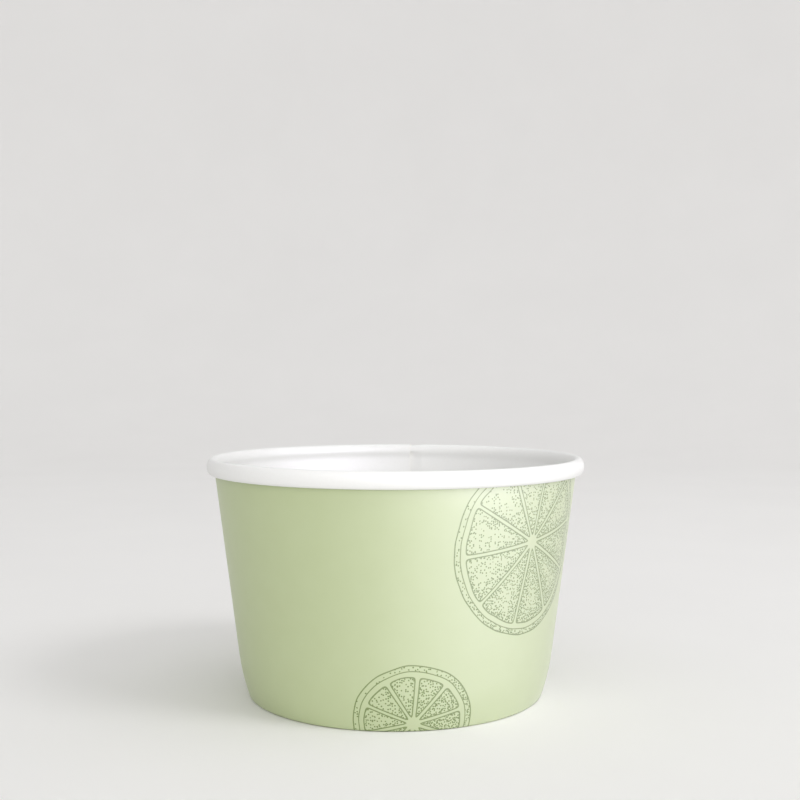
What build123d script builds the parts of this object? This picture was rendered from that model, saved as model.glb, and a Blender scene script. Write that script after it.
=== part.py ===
# A paper ice cream cup made from two pieces of board.
# The sidewall is one flat blank, wrapped into a cone and lapped at the back. Its top edge is rolled
# outwards into the rim, and its bottom edge is folded in and up around the skirt of the base disc.
# The foot of the wall is drawn in a little, with the skirt and the hem inside it.
# The origin is on the cup's axis, on the surface that the cup stands on. +Z is up, and the lap is at +Y.
import os
from math import acos, atan, atan2, ceil, copysign, cos, degrees, radians, sin, sqrt, tan

from build123d import *

# Overall sizes, in millimetres
rim_diameter = 95.0  # across the outside of the rolled rim
base_diameter = 76.4  # across the wall's cone, carried straight down to the table
cup_height = 59.5  # table to the top of the rim

# Board
paper = 0.45  # thickness of the sidewall board
base_paper = 0.40  # thickness of the base disc's board
glue_gap = 0.05  # seal line between two glued layers

# Rolled rim
rim_height = 4.0  # top to bottom of the roll
rim_overhang = 1.8  # how far the roll stands out past the wall's outer face
rim_inset = 0.55  # how far the roll stands in past the wall's inner face
roll_roundness = 0.72  # radius at the roll's top and bottom, over half its width
roll_gap = 0.12  # between the tucked cut edge and the wall
neck_radius = 4.0  # the small inward bend where the wall meets the roll
bend_step = 30.0  # most degrees that a flat of the roll's section turns, within 0.03 mm of its curve

# Foot, bottom fold and base disc
foot_height = 10.5  # the wall bends inwards below this height
foot_radius = 50.0  # of that bend, at the wall's outer face
foot_flats = 4  # flats that draw the bend, within 0.02 mm of its curve
base_recess = 6.5  # table to the underside of the base disc
hem_clearance = 1.2  # the hem's cut edge to the underside of the base disc
crease = 0.3  # blunting of the fold's two outer corners
base_corner = 0.35  # blunting of the corner between the disc and its skirt

# Lap seam
lap_width = 8.0  # overlap of the blank's two ends, at the middle of the wall
lap_ramp = 3.0  # length over which the outer end climbs on to the inner end
lap_bury = 0.5  # share of the board's thickness that the lap's solid runs into the wall
seam_angle = 90.0  # direction of the middle of the lap, in degrees from +X

# The wall is a cone from its foot to the middle of the roll
rim_radius = rim_diameter / 2
base_radius = base_diameter / 2
roll_height = cup_height - rim_height / 2
wall_lean = atan((rim_radius - rim_overhang - base_radius) / roll_height)
lean = degrees(wall_lean)
level_paper = paper / cos(wall_lean)  # the board's thickness measured level


# A section is drawn with x for the radius and y for the height.
foot_start = Vector(base_radius + foot_height * tan(wall_lean), foot_height)
foot_centre = foot_start - Vector(foot_radius, 0).rotate(Axis.Z, -lean)


def wall_radius(height, depth=0.0):
    """Radius at a height on the line that runs depth inside the wall's outer face."""
    drop = foot_centre.Y - height
    reach = foot_radius - depth
    if drop > reach * sin(wall_lean):  # on the foot's bend
        return foot_centre.X + sqrt(reach**2 - drop**2)
    return base_radius + height * tan(wall_lean) - depth / cos(wall_lean)


def wall_point(height, depth=0.0):
    return Vector(wall_radius(height, depth), height)


def foot_steps(bottom, top):
    return [bottom + (top - bottom) * i / foot_flats for i in range(foot_flats + 1)]


def foot_line(bottom, top, depth=0.0):
    """Points up the foot on the line that runs depth inside the wall's outer face."""
    return [wall_point(height, depth) for height in foot_steps(bottom, top)]


def turned(one_face, other_face):
    """The board between two faces, each a line of points, turned once round the cup's axis."""
    section = make_face(Polyline(*one_face, *reversed(other_face), close=True))
    return revolve(Plane.XZ * section, Axis.Z, 360)


# Bottom fold: the hem runs down inside the base disc's skirt, turns on the table and runs up as the wall
skirt_depth = paper + glue_gap  # the skirt's outer face
hem_depth = skirt_depth + base_paper + glue_gap  # the hem's face against the skirt
hem_back = hem_depth + paper  # the hem's open face
hem_height = base_recess - hem_clearance


def fold_outside():
    return [
        *reversed(foot_line(crease, hem_height, hem_back)),
        wall_point(0, hem_back) + Vector(crease, 0),
        wall_point(0) - Vector(crease, 0),
        *foot_line(crease, foot_height),
    ]


def fold_inside():
    return [
        *reversed(foot_line(paper, hem_height, hem_depth)),
        *foot_line(paper, foot_height, paper),
    ]


# Rim: two half ovals, the lower one narrower so that the cut edge tucks inside the roll
rim_width = rim_overhang + level_paper + rim_inset
roll_centre = Vector(rim_radius - rim_width / 2, roll_height)
roll_half_height = (rim_height - paper) / 2
roll_half_width = (rim_width - paper) / 2
tuck_shift = paper + roll_gap
tuck_half_width = roll_half_width - tuck_shift / 2
tuck_centre = roll_centre + Vector(tuck_shift / 2, 0)


def half_oval(half_width):
    """End radius, side radius and side angle of an oval of arcs as tall as the roll."""
    end_radius = roll_roundness * half_width
    rise = roll_half_height - end_radius
    side_radius = (rise**2 + half_width**2 - end_radius**2) / (2 * (half_width - end_radius))
    return end_radius, side_radius, degrees(atan2(rise, side_radius - half_width))


def neck_angle(side_centre, side_radius):
    """Angle below the roll's middle at which the neck's bend meets the roll's inner side."""
    wall_middle = wall_point(side_centre.Y, paper / 2)
    offset = (side_centre.X - wall_middle.X) * cos(wall_lean)
    return degrees(acos((offset + neck_radius) / (side_radius + neck_radius))) - lean


def rim_bends():
    """(centre, radius, start angle, sweep) of the board's middle line, from the wall to the cut edge."""
    crown_radius, side_radius, side_angle = half_oval(roll_half_width)
    tuck_radius, tuck_side_radius, tuck_angle = half_oval(tuck_half_width)
    side_shift = Vector(side_radius - roll_half_width, 0)
    tuck_side_shift = Vector(tuck_side_radius - tuck_half_width, 0)
    inner_side = roll_centre + side_shift
    crown = roll_centre + Vector(0, roll_half_height - crown_radius)
    tuck = tuck_centre - Vector(0, roll_half_height - tuck_radius)
    meet = neck_angle(inner_side, side_radius)
    neck = inner_side - Vector(side_radius + neck_radius, 0).rotate(Axis.Z, meet)
    return [
        (neck, neck_radius, -lean, meet + lean),
        (inner_side, side_radius, 180 + meet, -meet - side_angle),
        (crown, crown_radius, 180 - side_angle, side_angle - 90),
        (crown, crown_radius, 90, side_angle - 90),
        (roll_centre - side_shift, side_radius, side_angle, -side_angle),
        (tuck_centre - tuck_side_shift, tuck_side_radius, 0, -tuck_angle),
        (tuck, tuck_radius, -tuck_angle, 2 * tuck_angle - 180),
        (tuck_centre + tuck_side_shift, tuck_side_radius, 180 + tuck_angle, -tuck_angle),
    ]


def rim_face(shift):
    """Points of the roll on the line that runs shift to the left of the board's middle line."""
    points = []
    for centre, radius, start, sweep in rim_bends():
        spoke = Vector(radius - shift * copysign(1, sweep), 0)
        flats = ceil(abs(sweep) / bend_step)
        first = 1 if points else 0  # each bend starts where the one before it ends
        for i in range(first, flats + 1):
            points.append(centre + spoke.rotate(Axis.Z, start + sweep * i / flats))
    return points


# Lap seam: the blank's outer end climbs over its inner end and stops at a cut edge
neck_start = rim_face(0)[0].Y
lap_top = roll_height - rim_height / 2 + paper  # inside the board at the roll's underside
lap_angle = degrees(lap_width / wall_radius(cup_height / 2))
ramp_angle = degrees(lap_ramp / wall_radius(cup_height / 2))
inner_edge_angle = seam_angle - lap_angle / 2
outer_edge_angle = seam_angle + lap_angle / 2


def polar(radius, angle, height):
    return Vector(radius * cos(radians(angle)), radius * sin(radians(angle)), height)


def lap_outline(height):
    """Level section of the outer end, from inside the wall to one board outside it."""
    inside = wall_radius(height, paper * lap_bury)
    outside = wall_radius(height, -paper)
    ramp_foot = inner_edge_angle - ramp_angle * (1 + lap_bury)
    centre = Vector(0, 0, height)
    outer_face = CenterArc(centre, outside, inner_edge_angle, lap_angle)
    buried_face = CenterArc(centre, inside, ramp_foot, outer_edge_angle - ramp_foot)
    ramp = Line(buried_face @ 0, outer_face @ 0)
    cut_edge = Line(buried_face @ 1, outer_face @ 1)
    return make_face([outer_face, cut_edge, buried_face, ramp])


def step_outline(height):
    """Level section of the room inside the wall where the board leaves the inner end's cut edge."""
    ramp_foot = polar(wall_radius(height, paper), inner_edge_angle - ramp_angle, height)
    step_top = polar(wall_radius(height), inner_edge_angle, height)
    step_foot = polar(wall_radius(height, 2 * paper), inner_edge_angle, height)
    return make_face(Polyline(ramp_foot, step_top, step_foot, close=True))


def lapped(wall):
    lap_heights = [*foot_steps(crease, foot_height), lap_top]
    step_heights = [*foot_steps(paper, foot_height), neck_start]
    lap = loft([lap_outline(height) for height in lap_heights], ruled=True)
    step = loft([step_outline(height) for height in step_heights], ruled=True)
    return wall + lap - step


def sidewall():
    outside = [*fold_outside(), *rim_face(-paper / 2)]
    inside = [*fold_inside(), *rim_face(paper / 2)]
    return lapped(turned(outside, inside))


# Base disc: a flat disc with its edge turned down into a skirt between the wall and the hem
def base_disc():
    top = base_recess + base_paper
    skirt_foot = paper + glue_gap
    skirt_back = skirt_depth + base_paper
    upper_face = [
        Vector(0, top),
        wall_point(top, skirt_depth) - Vector(base_corner, 0),
        *reversed(foot_line(skirt_foot, top - base_corner, skirt_depth)),
    ]
    under_face = [
        Vector(0, base_recess),
        *reversed(foot_line(skirt_foot, base_recess, skirt_back)),
    ]
    return turned(upper_face, under_face)


os.makedirs("parts", exist_ok=True)
export_step(sidewall(), "parts/sidewall.step")
export_step(base_disc(), "parts/base_disc.step")
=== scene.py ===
# Paper ice cream cup: a wall of printed board, wrapped, lapped and rolled, and a pressed base disc
from math import acos, asin, atan, atan2, ceil, cos, hypot, pi, radians, sin, sqrt, tan

import bpy
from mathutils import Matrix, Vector


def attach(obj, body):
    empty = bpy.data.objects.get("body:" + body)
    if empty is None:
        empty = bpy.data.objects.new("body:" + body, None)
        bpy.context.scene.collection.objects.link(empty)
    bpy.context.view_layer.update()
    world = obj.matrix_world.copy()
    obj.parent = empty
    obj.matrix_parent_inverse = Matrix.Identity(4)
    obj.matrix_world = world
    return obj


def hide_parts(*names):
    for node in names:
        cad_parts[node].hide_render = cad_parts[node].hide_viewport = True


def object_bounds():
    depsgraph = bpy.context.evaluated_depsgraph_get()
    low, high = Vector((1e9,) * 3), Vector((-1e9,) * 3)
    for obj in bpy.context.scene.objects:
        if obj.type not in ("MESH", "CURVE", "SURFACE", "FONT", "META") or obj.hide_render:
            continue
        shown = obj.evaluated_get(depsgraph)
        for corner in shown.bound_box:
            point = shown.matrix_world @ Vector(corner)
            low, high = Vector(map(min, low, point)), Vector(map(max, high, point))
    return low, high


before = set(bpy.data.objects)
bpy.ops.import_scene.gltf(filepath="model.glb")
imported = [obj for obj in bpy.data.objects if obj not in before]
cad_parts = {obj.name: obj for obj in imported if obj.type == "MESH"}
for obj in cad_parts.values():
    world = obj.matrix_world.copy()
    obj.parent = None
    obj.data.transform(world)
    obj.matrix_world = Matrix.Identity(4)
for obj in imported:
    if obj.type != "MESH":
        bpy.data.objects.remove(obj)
cadLow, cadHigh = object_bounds()  # the box of the CAD model, before anything is added
mm = 0.001  # sizes are written in millimetres and used in metres
bendFlat = radians(10)  # most that one flat of a bend turns
weldGap = 0.002 * mm  # vertices nearer than this are one
hardEdge = radians(35)  # sharper edges than this aren't shaded smooth


# tools shared by the pieces
def linearColour(hexCode):
    channels = [int(hexCode[i:i + 2], 16) / 255 for i in (1, 3, 5)]
    linear = [c / 12.92 if c <= 0.04045 else ((c + 0.055) / 1.055) ** 2.4 for c in channels]
    return (*linear, 1.0)


def addNode(tree, kind, inputs=None, **settings):
    node = tree.nodes.new("ShaderNode" + kind)
    for name, value in settings.items():
        setattr(node, name, value)
    for socket, value in (inputs or {}).items():
        if isinstance(value, bpy.types.Node):
            value = value.outputs[0]
        if isinstance(value, bpy.types.NodeSocket):
            tree.links.new(value, node.inputs[socket])
        else:
            node.inputs[socket].default_value = value
    return node


def newMaterial(name):
    material = bpy.data.materials.new(name)
    material.use_nodes = True
    return material, material.node_tree, material.node_tree.nodes["Principled BSDF"]


def startSection(name, point):
    # one vertex, from which a section is drawn in the XZ plane
    bpy.ops.object.select_all(action="DESELECT")
    bpy.ops.mesh.primitive_plane_add(size=mm, location=point)
    piece = bpy.context.object
    piece.name = name
    piece.data.name = name
    bpy.ops.object.transform_apply(location=True)
    bpy.ops.object.mode_set(mode="EDIT")
    bpy.ops.mesh.merge(type="CENTER")
    return piece


def drawStraight(start, end, parts):
    for part in range(parts):
        bpy.ops.mesh.extrude_region_move(TRANSFORM_OT_translate={"value": (end - start) / parts})


def drawBend(centre, sweep, steps=None):
    # spin turns against its axis, so +Y bends from x towards z
    steps = steps or max(2, ceil(abs(sweep) / bendFlat))
    bpy.ops.mesh.spin(steps=steps, angle=sweep, center=centre, axis=(0, 1, 0))


def turnSection(angle, steps):
    # and -Z turns from x towards y
    bpy.ops.mesh.spin(steps=steps, angle=angle, center=(0, 0, 0), axis=(0, 0, -1), use_auto_merge=False)


def selectVertices(piece, wanted):
    bpy.ops.mesh.select_all(action="DESELECT")
    bpy.ops.object.mode_set(mode="OBJECT")
    for vertex in piece.data.vertices:
        vertex.select = wanted(vertex)
    bpy.ops.object.mode_set(mode="EDIT")


def selectedNumbers(piece):
    bpy.ops.object.mode_set(mode="OBJECT")
    numbers = {vertex.index for vertex in piece.data.vertices if vertex.select}
    bpy.ops.object.mode_set(mode="EDIT")
    return numbers


def addThickness(piece, thickness):
    # slots go face, back, cut edge
    solidify = piece.modifiers.new("board", "SOLIDIFY")
    solidify.thickness = thickness
    solidify.offset = 0
    solidify.use_even_offset = True
    solidify.material_offset = 1
    solidify.material_offset_rim = 2
    bpy.ops.object.modifier_apply(modifier=solidify.name)
    bpy.ops.object.shade_smooth_by_angle(angle=hardEdge)


def finishPiece(piece, node):
    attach(piece, "root")
    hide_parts(node)
    print(f"{piece.name}: {len(piece.data.vertices)} vertices, {len(piece.data.polygons)} faces")


# sizes of the wall's blank and of its roll, fold and lap
wall = {
    "board": 0.45 * mm,  # thickness of the board
    "baseRadius": 38.2 * mm,  # of the wall's cone, carried straight down to the table
    "footHeight": 10.5 * mm,  # the wall bends inwards below this
    "footRadius": 50.0 * mm,  # of that bend, at the outer face
    "rollTall": 4.0 * mm,  # rim roll, top to bottom
    "rollOut": 1.8 * mm,  # roll past the wall's outer face
    "rollIn": 0.55 * mm,  # roll past the wall's inner face
    "rollRoundness": 0.72,  # end radius of the roll over half its width
    "rollGap": 0.12 * mm,  # tucked edge to the wall
    "neckRadius": 4.0 * mm,  # inward bend below the roll
    "hemTop": 5.3 * mm,  # table to the hem's cut edge
    "baseBoard": 0.40 * mm,  # thickness of the base disc
    "glueGap": 0.05 * mm,  # seal between two layers
    "lapWidth": 8.0 * mm,  # overlap of the blank's two ends
    "lapRamp": 3.0 * mm,  # length over which the outer end climbs
    "lapShrink": 0.80,  # the outer end's roll lies inside the inner end's
    "seamAngle": radians(90),  # middle of the lap
    "wallParts": 8,  # flats up the cone
    "footParts": 5,
    "hemParts": 5,
    "columns": 460,  # round the wall, without the lap and its ramp
    "rampColumns": 5,
    "lapColumns": 15,
    "ridgeColumns": 4,  # one ridge and one groove, pressed into the hem by the sealing tool
    "ridgeHeight": 0.28 * mm,
    "ridgeEnd": 1.0 * mm,  # plain board above and below the ridges
    "printEnd": 1.6 * mm,  # the print runs this far up the hem
    "hemSlot": 3,  # first of the three material slots of the bare hem
}
board = wall["board"]
rollMiddle = cadHigh.z - wall["rollTall"] / 2
lean = atan((cadHigh.x - wall["rollOut"] - wall["baseRadius"]) / rollMiddle)
skirtDepth = board + wall["glueGap"]  # below the wall's outer face
hemDepth = skirtDepth + wall["baseBoard"] + wall["glueGap"]
midRadius = wall["baseRadius"] + cadHigh.z / 2 * tan(lean)
lapAngle = wall["lapWidth"] / midRadius
rampAngle = wall["lapRamp"] / midRadius
outerEdge = wall["seamAngle"] + lapAngle / 2  # where the outer end is cut


def sideways(length):
    return Vector((length, 0, 0))


def upwards(length):
    return Vector((0, 0, length))


def spoke(radius, angle):
    return Vector((radius * cos(angle), 0, radius * sin(angle)))


footStart = sideways(wall["baseRadius"] + wall["footHeight"] * tan(lean)) + upwards(wall["footHeight"])
footCentre = footStart - spoke(wall["footRadius"], -lean)  # the foot bends in about this


def footLean(height, depth):
    return asin((footCentre.z - height) / (wall["footRadius"] - depth))


def wallRadius(height, depth):
    # radius of the line that runs depth inside the wall's outer face
    drop = footCentre.z - height
    reach = wall["footRadius"] - depth
    if drop > reach * sin(lean):
        return footCentre.x + sqrt(reach**2 - drop**2)
    return wall["baseRadius"] + height * tan(lean) - depth / cos(lean)


def wallPoint(height, depth):
    return Vector((wallRadius(height, depth), 0, height))


def halfOval(halfWidth, halfHeight):
    # oval of arcs: its end radius, its side radius and the angle at which they meet
    endRadius = wall["rollRoundness"] * halfWidth
    rise = halfHeight - endRadius
    sideRadius = (rise**2 + halfWidth**2 - endRadius**2) / (2 * (halfWidth - endRadius))
    return endRadius, sideRadius, atan2(rise, sideRadius - halfWidth)


rollWidth = wall["rollOut"] + board / cos(lean) + wall["rollIn"]
rollCentre = Vector((cadHigh.x - rollWidth / 2, 0, rollMiddle))
foldRadius = hemDepth / 2
foldMiddle = foldRadius + board / 2  # above the table, and below the wall's outer face
foldCentre = wallPoint(foldMiddle, foldMiddle)
foldSlack = board / 10  # takes in the fold's lowest line with the hem


def rollBends():
    # where the neck starts, and (centre, sweep) of each bend of the board's middle line
    halfHeight = (wall["rollTall"] - board) / 2
    halfWidth = (rollWidth - board) / 2
    tuckShift = board + wall["rollGap"]
    tuckHalf = halfWidth - tuckShift / 2
    tuckCentre = rollCentre + sideways(tuckShift / 2)
    crownRadius, sideRadius, sideAngle = halfOval(halfWidth, halfHeight)
    tuckRadius, tuckSide, tuckAngle = halfOval(tuckHalf, halfHeight)
    innerSide = rollCentre + sideways(sideRadius - halfWidth)
    crown = rollCentre + upwards(halfHeight - crownRadius)
    tuck = tuckCentre - upwards(halfHeight - tuckRadius)
    neckRadius = wall["neckRadius"]
    offset = (innerSide.x - wallRadius(rollMiddle, board / 2)) * cos(lean)
    meet = acos((offset + neckRadius) / (sideRadius + neckRadius)) - lean
    neck = innerSide - spoke(sideRadius + neckRadius, meet)
    return neck + spoke(neckRadius, -lean), [
        (neck, meet + lean),
        (innerSide, -meet - sideAngle),
        (crown, 2 * sideAngle - pi),
        (rollCentre - sideways(sideRadius - halfWidth), -sideAngle),
        (tuckCentre - sideways(tuckSide - tuckHalf), -tuckAngle),
        (tuck, 2 * tuckAngle - pi),
        (tuckCentre + sideways(tuckSide - tuckHalf), -tuckAngle),
    ]


def drawWallSection():
    # the board's middle line, from the hem's cut edge round the fold and up to the tucked edge
    hemMiddle = hemDepth + board / 2
    foldLean = footLean(foldMiddle, foldMiddle)
    hemSweep = foldLean - footLean(wall["hemTop"], hemMiddle)
    footEnd = footCentre + spoke(wall["footRadius"] - board / 2, -lean)
    neckStart, bends = rollBends()
    piece = startSection("cup_wall", wallPoint(wall["hemTop"], hemMiddle))
    drawBend(footCentre, -hemSweep, wall["hemParts"])
    drawBend(foldCentre, pi)
    drawBend(footCentre, foldLean - lean, wall["footParts"])
    drawStraight(footEnd, neckStart, wall["wallParts"])
    for centre, sweep in bends:
        drawBend(centre, sweep)
    return piece


def inHem(co):
    low = co.z < wall["hemTop"] + board
    return low and hypot(co.x, co.y) < wallRadius(co.z, foldMiddle) + foldSlack


def inRoll(co):
    outsideWall = hypot(co.x, co.y) > wallRadius(co.z, board / 2) + board / 2
    return co.z > rollMiddle or (outsideWall and co.z > rollMiddle - wall["rollTall"])


def climbLap(piece):
    # each step turns the end section on, moves its wall out and draws its roll in
    steps = wall["rampColumns"]
    lift = 1 + (board + wall["glueGap"]) / midRadius / steps
    shrink = wall["lapShrink"] ** (1 / steps)
    rampStart = 2 * pi - lapAngle - rampAngle
    for step in range(1, steps + 1):
        turnSection(rampAngle / steps, 1)
        ends = selectedNumbers(piece)
        selectVertices(piece, lambda v: v.index in ends and not inHem(v.co) and not inRoll(v.co))
        bpy.ops.transform.resize(value=(lift, lift, 1), center_override=(0, 0, 0))
        angle = rampStart + rampAngle * step / steps
        here = (rollCentre.x * cos(angle), rollCentre.x * sin(angle), rollMiddle)
        selectVertices(piece, lambda v: v.index in ends and inRoll(v.co))
        bpy.ops.transform.resize(value=(shrink, shrink, shrink), center_override=here)
        selectVertices(piece, lambda v: v.index in ends)


def pressRidges(piece):
    low = wall["ridgeEnd"] + foldCentre.z
    high = wall["hemTop"] - wall["ridgeEnd"]
    columnAngle = (2 * pi - lapAngle - rampAngle) / wall["columns"]

    def onRidge(vertex):
        co = vertex.co
        column = round(atan2(co.y, co.x) % (2 * pi) / columnAngle)
        inRidge = column % wall["ridgeColumns"] < wall["ridgeColumns"] / 2
        return low < co.z < high and inHem(co) and inRidge

    selectVertices(piece, onRidge)
    inwards = 1 - wall["ridgeHeight"] / wallRadius(high, hemDepth)
    bpy.ops.transform.resize(value=(inwards, inwards, 1), center_override=(0, 0, 0))


def makeWall(materials):
    piece = drawWallSection()
    bpy.ops.mesh.select_all(action="SELECT")
    sectionSize = len(selectedNumbers(piece))
    turnSection(2 * pi - lapAngle - rampAngle, wall["columns"])
    climbLap(piece)
    turnSection(lapAngle, wall["lapColumns"])
    # the inner end runs on under the lap, without hem or fold
    selectVertices(piece, lambda v: v.index < sectionSize and not inHem(v.co) and v.co.z > foldMiddle)
    turnSection(-lapAngle, wall["lapColumns"])
    bpy.ops.mesh.select_all(action="SELECT")
    bpy.ops.mesh.remove_doubles(threshold=weldGap)
    pressRidges(piece)
    bpy.ops.mesh.select_all(action="SELECT")
    bpy.ops.mesh.normals_make_consistent(inside=False)
    bpy.ops.object.mode_set(mode="OBJECT")
    for material in materials:
        piece.data.materials.append(material)
    # the print ends on the hem, so its upper part takes the slots of the bare board
    bpy.ops.object.mode_set(mode="EDIT")
    selectVertices(piece, lambda v: inHem(v.co) and v.co.z > wall["printEnd"])
    piece.active_material_index = wall["hemSlot"]
    bpy.ops.object.material_slot_assign()
    bpy.ops.object.mode_set(mode="OBJECT")
    piece.rotation_euler.z = outerEdge
    bpy.ops.object.transform_apply(rotation=True)
    return piece


# Base disc
disc = {
    "recess": 6.5 * mm,  # table to the underside
    "bend": 0.4 * mm,  # middle of the board at the turned edge
    "sag": 0.25 * mm,  # the middle lies this much lower
    "rings": 10,
    "skirtParts": 4,
    "columns": 360,
}


def makeBase(materials):
    thickness = wall["baseBoard"]
    edgeHeight = disc["recess"] + thickness / 2
    skirtMiddle = skirtDepth + thickness / 2
    bendCentre = wallPoint(edgeHeight - disc["bend"], skirtMiddle + disc["bend"])
    skirtLean = footLean(bendCentre.z, skirtMiddle + disc["bend"])
    skirtSweep = footLean(board + wall["glueGap"], skirtMiddle) - skirtLean
    sagRadius = bendCentre.x**2 / (2 * disc["sag"])
    middle = Vector((0, 0, edgeHeight - disc["sag"]))
    piece = startSection("cup_base", middle)
    drawBend(middle + upwards(sagRadius), bendCentre.x / sagRadius, disc["rings"])
    drawBend(bendCentre, -pi / 2 - skirtLean)
    drawBend(footCentre, -skirtSweep, disc["skirtParts"])
    bpy.ops.mesh.select_all(action="SELECT")
    turnSection(2 * pi, disc["columns"])
    bpy.ops.mesh.select_all(action="SELECT")
    bpy.ops.mesh.remove_doubles(threshold=weldGap)
    bpy.ops.mesh.normals_make_consistent(inside=False)
    bpy.ops.object.mode_set(mode="OBJECT")
    for material in materials:
        piece.data.materials.append(material)
    return piece


# materials
def boardFibres(tree, look):
    # slight unevenness of the sheet under its finish
    point = addNode(tree, "TexCoord").outputs["Object"]
    fibres = addNode(tree, "TexNoise", {"Vector": point, "Scale": 1 / look["fibre"], "Detail": 3.0})
    relief = {"Height": fibres, "Strength": look["bump"], "Distance": look["height"]}
    return fibres, addNode(tree, "Bump", relief)


# Print on the outer face, in millimetres on the flat blank: citrus wheels in line and stipple
citrusPrint = {
    "ground": "#B1BD90",
    "groundShade": "#AEBA8B",
    "ink": "#5A7016",
    "mottleSize": 6.0,  # of the ground's faint unevenness
    # degrees right of the front, height of the middle, radius, turn in degrees
    "wheels": [
        (46, 42, 22, 8),
        (6, 2, 14, 14),
        (-120, 16, 22, 4),
        (-155, 55, 14, 12),
        (104, 6, 16, 10),
        (146, 40, 18, 3),
    ],
    "segments": 10,
    "line": 0.30,
    "pithLine": 0.8,  # width of the rind's inner line over the others'
    "lineInk": 0.9,
    "rind": 1.5,  # between its two lines
    "pith": 1.3,  # from the rind to the segments
    "membrane": 0.45,  # half the gap between two segments
    "core": 1.5,
    "corner": 1.4,  # rounds the segments
    "wobble": 0.6,
    "wobbleSize": 7.0,
    "segmentWobble": 0.5,  # share of the wobble that the segments take
    "dotSpacing": 0.50,
    "dotRadius": 0.19,
    "edgeDots": 1.1,  # share of the dots kept at a segment's edge
    "innerDots": 0.25,  # and at the inner depth
    "innerDepth": 3.5,  # inside the segment's edge
    "rindDots": 0.6,
    "shadeSide": (0.6, -0.8, 0),  # the stipple is thick on the lower right
    "shadeReach": 0.9,  # in radii from the middle
    "shadeRange": (0.30, 1.5),  # times the dots kept, from the thin side to the thick
}
apexDepth = wall["baseRadius"] / tan(lean) / mm  # point of the wall's cone below the table
blankFoot = wall["baseRadius"] / sin(lean) / mm  # from that point to the table, along the wall


def blankPlace(degreesRight, height):
    fan = (radians(degreesRight) + pi / 2 - outerEdge) * sin(lean)
    reach = (apexDepth + height) / cos(lean)
    return (reach * sin(fan), reach * cos(fan) - blankFoot, 0), fan


def flatBlank(tree):
    # unrolls the wall on to its blank, which ends at the lap's outer edge
    point = addNode(tree, "TexCoord").outputs["Object"]
    scaled = addNode(tree, "VectorMath", {0: point, "Scale": 1 / mm}, operation="SCALE")
    turn = {"Vector": scaled, "Angle": -outerEdge - pi}
    turned = addNode(tree, "VectorRotate", turn, rotation_type="Z_AXIS")
    parts = addNode(tree, "SeparateXYZ", {0: turned})
    azimuth = addNode(tree, "Math", {0: parts.outputs["Y"], 1: parts.outputs["X"]}, operation="ARCTAN2")
    fan = addNode(tree, "Math", {0: azimuth, 1: sin(lean)}, operation="MULTIPLY")
    fromApex = addNode(tree, "VectorMath", {0: turned, 1: (0, 0, apexDepth)}, operation="ADD")
    reach = addNode(tree, "VectorMath", {0: fromApex}, operation="LENGTH").outputs["Value"]
    fanSine = addNode(tree, "Math", {0: fan}, operation="SINE")
    fanCosine = addNode(tree, "Math", {0: fan}, operation="COSINE")
    across = addNode(tree, "Math", {0: reach, 1: fanSine}, operation="MULTIPLY")
    along = addNode(tree, "Math", {0: reach, 1: fanCosine, 2: -blankFoot}, operation="MULTIPLY_ADD")
    return addNode(tree, "CombineXYZ", {"X": across, "Y": along}).outputs[0]


def nearestWheel(tree, flat):
    # place in the nearest wheel, in radii, that wheel's radius, and how far off its middle is
    local = None
    for degreesRight, height, wheelRadius, turn in citrusPrint["wheels"]:
        place, fan = blankPlace(degreesRight, height)
        ownPlace = {
            "Vector": flat,
            "Location": place,
            "Rotation": (0, 0, radians(turn) - fan),
            "Scale": (wheelRadius, wheelRadius, 1),
        }
        inWheel = addNode(tree, "Mapping", ownPlace, vector_type="TEXTURE").outputs[0]
        away = addNode(tree, "VectorMath", {0: inWheel}, operation="LENGTH").outputs["Value"]
        if local is None:
            local, radius, nearest = inWheel, wheelRadius, away
            continue
        closer = addNode(tree, "Math", {0: away, 1: nearest}, operation="LESS_THAN")
        local = addNode(tree, "Mix", {0: closer, 4: local, 5: inWheel}, data_type="VECTOR").outputs[1]
        radius = addNode(tree, "Mix", {0: closer, 2: radius, 3: wheelRadius})
        nearest = addNode(tree, "Math", {0: away, 1: nearest}, operation="MINIMUM")
    return local, radius, nearest


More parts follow.
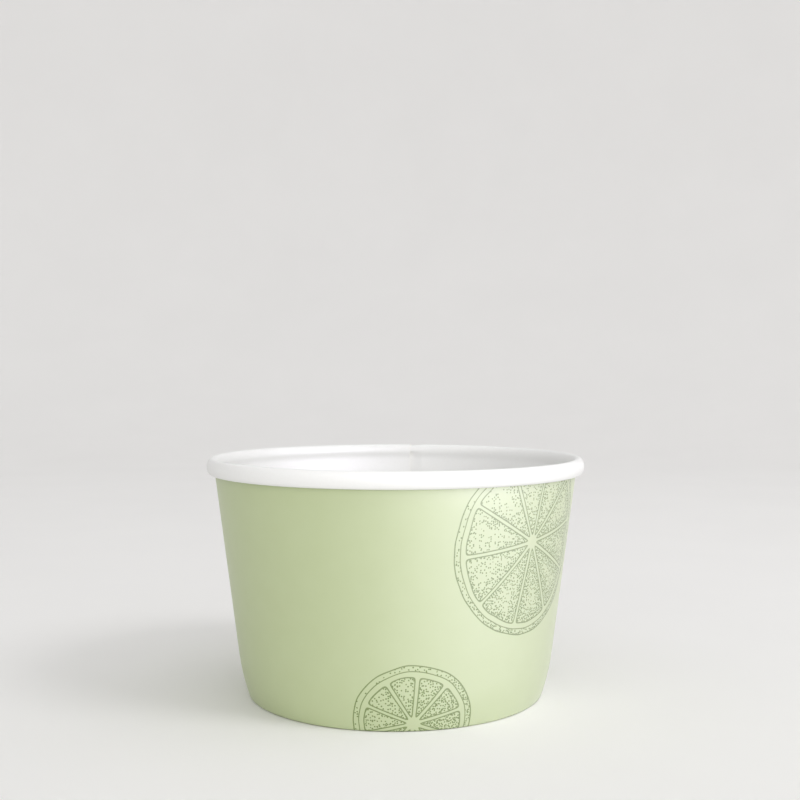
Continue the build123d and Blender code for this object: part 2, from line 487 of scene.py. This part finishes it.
def wheelForms(tree, flat):
    # place in the nearest wheel, and distances inside its rind and inside a segment
    design = citrusPrint
    local, radius, nearest = nearestWheel(tree, flat)
    parts = addNode(tree, "SeparateXYZ", {0: local})
    reach = addNode(tree, "Math", {0: nearest, 1: radius}, operation="MULTIPLY")
    noise = {"Vector": flat, "Scale": 1 / design["wobbleSize"], "Detail": 1.0}
    hand = addNode(tree, "TexNoise", noise, noise_dimensions="2D")
    halfWobble = design["wobble"] / 2
    wobble = addNode(tree, "MapRange", {0: hand, 3: -halfWobble, 4: halfWobble})
    rim = addNode(tree, "Math", {0: radius, 1: reach}, operation="SUBTRACT")
    edge = addNode(tree, "Math", {0: rim, 1: wobble}, operation="ADD")
    # a segment lies between two membranes, the pith and the core, with rounded corners
    angle = addNode(tree, "Math", {0: parts.outputs["Y"], 1: parts.outputs["X"]}, operation="ARCTAN2")
    count = addNode(tree, "Math", {0: angle, 1: design["segments"] / (2 * pi)}, operation="MULTIPLY")
    share = addNode(tree, "Math", {0: count}, operation="FRACT")
    folded = addNode(tree, "Math", {0: share, 1: 0.5}, operation="PINGPONG")
    arc = addNode(tree, "Math", {0: folded, 1: 2 * pi / design["segments"]}, operation="MULTIPLY")
    inArc = addNode(tree, "Math", {0: arc, 1: reach, 2: -design["membrane"]}, operation="MULTIPLY_ADD")
    inPith = addNode(tree, "Math", {0: edge, 1: design["rind"] + design["pith"]}, operation="SUBTRACT")
    fromCore = addNode(tree, "Math", {0: reach, 1: design["core"]}, operation="SUBTRACT")
    segment = inArc
    for limit in (inPith, fromCore):
        rounded = {0: segment, 1: limit, 2: design["corner"]}
        segment = addNode(tree, "Math", rounded, operation="SMOOTH_MIN")
    drawn = {0: wobble, 1: design["segmentWobble"], 2: segment}
    return local, edge, addNode(tree, "Math", drawn, operation="MULTIPLY_ADD")


def drawnLines(tree, edge, segment):
    design = citrusPrint
    halfLine = design["line"] / 2
    rindLine = addNode(tree, "Math", {0: edge, 1: halfLine, 2: halfLine}, operation="COMPARE")
    inner = {0: edge, 1: design["rind"], 2: halfLine * design["pithLine"]}
    pithLine = addNode(tree, "Math", inner, operation="COMPARE")
    segmentLine = addNode(tree, "Math", {0: segment, 1: 0.0, 2: halfLine}, operation="COMPARE")
    lines = addNode(tree, "Math", {0: rindLine, 1: pithLine}, operation="MAXIMUM")
    lines = addNode(tree, "Math", {0: lines, 1: segmentLine}, operation="MAXIMUM")
    return addNode(tree, "Math", {0: lines, 1: design["lineInk"]}, operation="MULTIPLY")


def stippleDots(tree, flat, local, edge, segment):
    design = citrusPrint
    inside = addNode(tree, "Math", {0: segment, 1: 0.0}, operation="GREATER_THAN")
    deep, most, least = design["innerDepth"], design["edgeDots"], design["innerDots"]
    fade = addNode(tree, "MapRange", {0: segment, 1: 0.0, 2: deep, 3: most, 4: least})
    density = addNode(tree, "Math", {0: inside, 1: fade}, operation="MULTIPLY")
    halfRind = design["rind"] / 2
    inRind = addNode(tree, "Math", {0: edge, 1: halfRind, 2: halfRind}, operation="COMPARE")
    withRind = {0: inRind, 1: design["rindDots"], 2: density}
    density = addNode(tree, "Math", withRind, operation="MULTIPLY_ADD")
    side = addNode(tree, "VectorMath", {0: local, 1: design["shadeSide"]}, operation="DOT_PRODUCT")
    far = design["shadeReach"]
    thin, thick = design["shadeRange"]
    shade = addNode(tree, "MapRange", {0: side.outputs["Value"], 1: -far, 2: far, 3: thin, 4: thick})
    density = addNode(tree, "Math", {0: density, 1: shade}, operation="MULTIPLY")
    # one dot in each cell that is kept
    grain = {"Vector": flat, "Scale": 1 / design["dotSpacing"]}
    cells = addNode(tree, "TexVoronoi", grain, voronoi_dimensions="2D")
    chance = addNode(tree, "SeparateColor", {0: cells.outputs["Color"]})
    kept = addNode(tree, "Math", {0: chance, 1: density}, operation="LESS_THAN")
    dotSize = design["dotRadius"] / design["dotSpacing"]
    dot = addNode(tree, "Math", {0: cells.outputs["Distance"], 1: dotSize}, operation="LESS_THAN")
    return addNode(tree, "Math", {0: kept, 1: dot}, operation="MULTIPLY")


def citrusInk(tree, flat):
    local, edge, segment = wheelForms(tree, flat)
    lines = drawnLines(tree, edge, segment)
    dots = stippleDots(tree, flat, local, edge, segment)
    return addNode(tree, "Math", {0: lines, 1: dots}, operation="MAXIMUM")


# Offset-printed coated board under a satin varnish: an even tint, a tone-on-tone drawing, a soft sheen
printedLook = {
    "fibre": 0.5 * mm,
    "bump": 0.12,
    "height": 0.02 * mm,
    "rough": (0.38, 0.48),
    "varnish": 1.0,
    "varnishRough": 0.75,
    "varnishIor": 1.7,
}


def printedBoard():
    material, tree, shader = newMaterial("printed_coated_board")
    flat = flatBlank(tree)
    mottled = {"Vector": flat, "Scale": 1 / citrusPrint["mottleSize"], "Detail": 2.0}
    mottle = addNode(tree, "TexNoise", mottled, noise_dimensions="2D")
    ground = linearColour(citrusPrint["ground"])
    groundShade = linearColour(citrusPrint["groundShade"])
    tint = addNode(tree, "Mix", {0: mottle, 6: groundShade, 7: ground}, data_type="RGBA").outputs[2]
    drawn = {0: citrusInk(tree, flat), 6: tint, 7: linearColour(citrusPrint["ink"])}
    colour = addNode(tree, "Mix", drawn, data_type="RGBA").outputs[2]
    fibres, bump = boardFibres(tree, printedLook)
    smooth, rough = printedLook["rough"]
    roughness = addNode(tree, "MapRange", {0: fibres, 3: smooth, 4: rough})
    shader.inputs["Coat Weight"].default_value = printedLook["varnish"]
    shader.inputs["Coat Roughness"].default_value = printedLook["varnishRough"]
    shader.inputs["Coat IOR"].default_value = printedLook["varnishIor"]
    tree.links.new(colour, shader.inputs["Base Color"])
    tree.links.new(roughness.outputs[0], shader.inputs["Roughness"])
    tree.links.new(bump.outputs[0], shader.inputs["Normal"])
    return material


def whiteBoard(name, look):
    material, tree, shader = newMaterial(name)
    fibres, bump = boardFibres(tree, look)
    light, dark = (linearColour(code) for code in look["colours"])
    colour = addNode(tree, "Mix", {0: fibres, 6: dark, 7: light}, data_type="RGBA").outputs[2]
    tree.links.new(colour, shader.inputs["Base Color"])
    tree.links.new(bump.outputs[0], shader.inputs["Normal"])
    shader.inputs["Roughness"].default_value = look["rough"]
    if "roughest" in look:
        roughness = addNode(tree, "MapRange", {0: fibres, 3: look["rough"], 4: look["roughest"]})
        tree.links.new(roughness.outputs[0], shader.inputs["Roughness"])
    return material


# White board with a film of polyethylene, on the inside and the roll: clean white with a soft gloss
filmLook = {
    "colours": ("#EBEBEA", "#E7E7E5"),
    "fibre": 0.7 * mm,
    "bump": 0.10,
    "height": 0.02 * mm,
    "rough": 0.48,
    "roughest": 0.58,
}
# Bare white board, under the base and on the hem: matt, with short fibres showing
bareLook = {
    "colours": ("#ECEAE4", "#E2DFD7"),
    "fibre": 0.45 * mm,
    "bump": 0.25,
    "height": 0.04 * mm,
    "rough": 0.85,
}
# The board's cut edge: loose off-white fibres, drawn coarser than they are so that they show
edgeLook = {
    "colours": ("#EEEADF", "#D9D3C4"),
    "fibre": 0.2 * mm,
    "bump": 0.4,
    "height": 0.05 * mm,
    "rough": 0.95,
}
coated = whiteBoard("white_film_coated_board", filmLook)
bare = whiteBoard("bare_white_board", bareLook)
rawEdge = whiteBoard("cut_board_edge", edgeLook)
print("materials made")

cupWall = makeWall([coated, printedBoard(), rawEdge, coated, bare, rawEdge])
addThickness(cupWall, board)
finishPiece(cupWall, "sidewall")

cupBase = makeBase([coated, bare, rawEdge])
addThickness(cupBase, wall["baseBoard"])
finishPiece(cupBase, "base_disc")

# studio: a pale sweep under an open sky, a window high on the right and two lights for the cup
studio = {
    "floorRadius": 0.75,
    "floorParts": 6,
    "sweepRadius": 0.45,
    "sweepParts": 15,
    "wallTop": 0.35,
    "wallParts": 4,
    "columns": 128,
    "weldGap": 0.01 * mm,
    "paper": "#F6F5F4",
    "paperShade": "#F2F1F0",
    "paperRough": 0.9,
    "cloudSize": 0.08,
    "sky": "#FFFFFF",
    "skyStrength": 0.785,
    "window": {"place": (0.72, -0.42, 0.80), "size": 0.35, "power": 2.8},  # throws the soft shadow
    "key": {"place": (0.12, -0.57, 0.12), "size": 0.45, "power": 1.9},
    "sheen": {"place": (0.38, -0.27, 0.14), "size": 0.45, "power": 12.6},
    "sheenColour": "#EEE8FF",
}


# Matt background paper: pale grey with a faint cloudiness
def sweepPaper():
    material, tree, shader = newMaterial("matt_background_paper")
    point = addNode(tree, "TexCoord").outputs["Object"]
    cloudy = {"Vector": point, "Scale": 1 / studio["cloudSize"], "Detail": 3.0}
    clouds = addNode(tree, "TexNoise", cloudy)
    light, dark = linearColour(studio["paper"]), linearColour(studio["paperShade"])
    colour = addNode(tree, "Mix", {0: clouds, 6: dark, 7: light}, data_type="RGBA").outputs[2]
    shader.inputs["Roughness"].default_value = studio["paperRough"]
    shader.inputs["Specular IOR Level"].default_value = 0.0
    tree.links.new(colour, shader.inputs["Base Color"])
    return material


def makeSweep():
    middle = Vector((0, 0, 0))
    bendStart = sideways(studio["floorRadius"])
    sweep = startSection("studio_sweep", middle)
    drawStraight(middle, bendStart, studio["floorParts"])
    bendCentre = bendStart + upwards(studio["sweepRadius"])
    drawBend(bendCentre, pi / 2, studio["sweepParts"])
    bendEnd = bendCentre + sideways(studio["sweepRadius"])
    drawStraight(bendEnd, bendEnd + upwards(studio["wallTop"]), studio["wallParts"])
    bpy.ops.mesh.select_all(action="SELECT")
    turnSection(2 * pi, studio["columns"])
    bpy.ops.mesh.select_all(action="SELECT")
    bpy.ops.mesh.remove_doubles(threshold=studio["weldGap"])
    bpy.ops.mesh.normals_make_consistent(inside=True)
    bpy.ops.object.mode_set(mode="OBJECT")
    bpy.ops.object.shade_smooth()
    sweep.data.materials.append(sweepPaper())


def addSoftLight(name, setup):
    bpy.ops.object.light_add(type="AREA", location=setup["place"])
    light = bpy.context.object
    light.name = name
    light.data.shape = "SQUARE"
    light.data.size = setup["size"]
    light.data.energy = setup["power"]
    light.visible_camera = False
    toCup = Vector((0, 0, cadHigh.z / 2)) - Vector(setup["place"])
    light.rotation_euler = toCup.to_track_quat("-Z", "Y").to_euler()
    return light


makeSweep()
addSoftLight("window_light", studio["window"])
keyLight = addSoftLight("key_light", studio["key"])
cupOnly = bpy.data.collections.new("cup_only")
for piece in (cupWall, cupBase):
    cupOnly.objects.link(piece)
keyLight.light_linking.receiver_collection = cupOnly  # leaves no bright patch on the floor
sheenLight = addSoftLight("sheen_light", studio["sheen"])
sheenLight.data.color = linearColour(studio["sheenColour"])[:3]
sheenLight.visible_diffuse = False  # shows only as gloss on the varnish and the film
world = bpy.data.worlds.new("studio_sky")
world.use_nodes = True
sky = world.node_tree.nodes["Background"]
sky.inputs["Color"].default_value = linearColour(studio["sky"])
sky.inputs["Strength"].default_value = studio["skyStrength"]
bpy.context.scene.world = world
bpy.context.scene.view_settings.view_transform = "Standard"
print("studio lit")

# camera of the photograph: in front, a little above the rim
cameraSetup = {
    "place": (0, -300.6 * mm, 81.64 * mm),
    "down": radians(1.517),
    "right": radians(0.22),
    "lens": 53.2,
    "sensor": 36.0,
}
turnedTo = (pi / 2 - cameraSetup["down"], 0, -cameraSetup["right"])
bpy.ops.object.camera_add(location=cameraSetup["place"], rotation=turnedTo)
camera = bpy.context.object
camera.data.lens = cameraSetup["lens"]
camera.data.sensor_width = cameraSetup["sensor"]
camera.data.clip_start = mm
bpy.context.scene.camera = camera
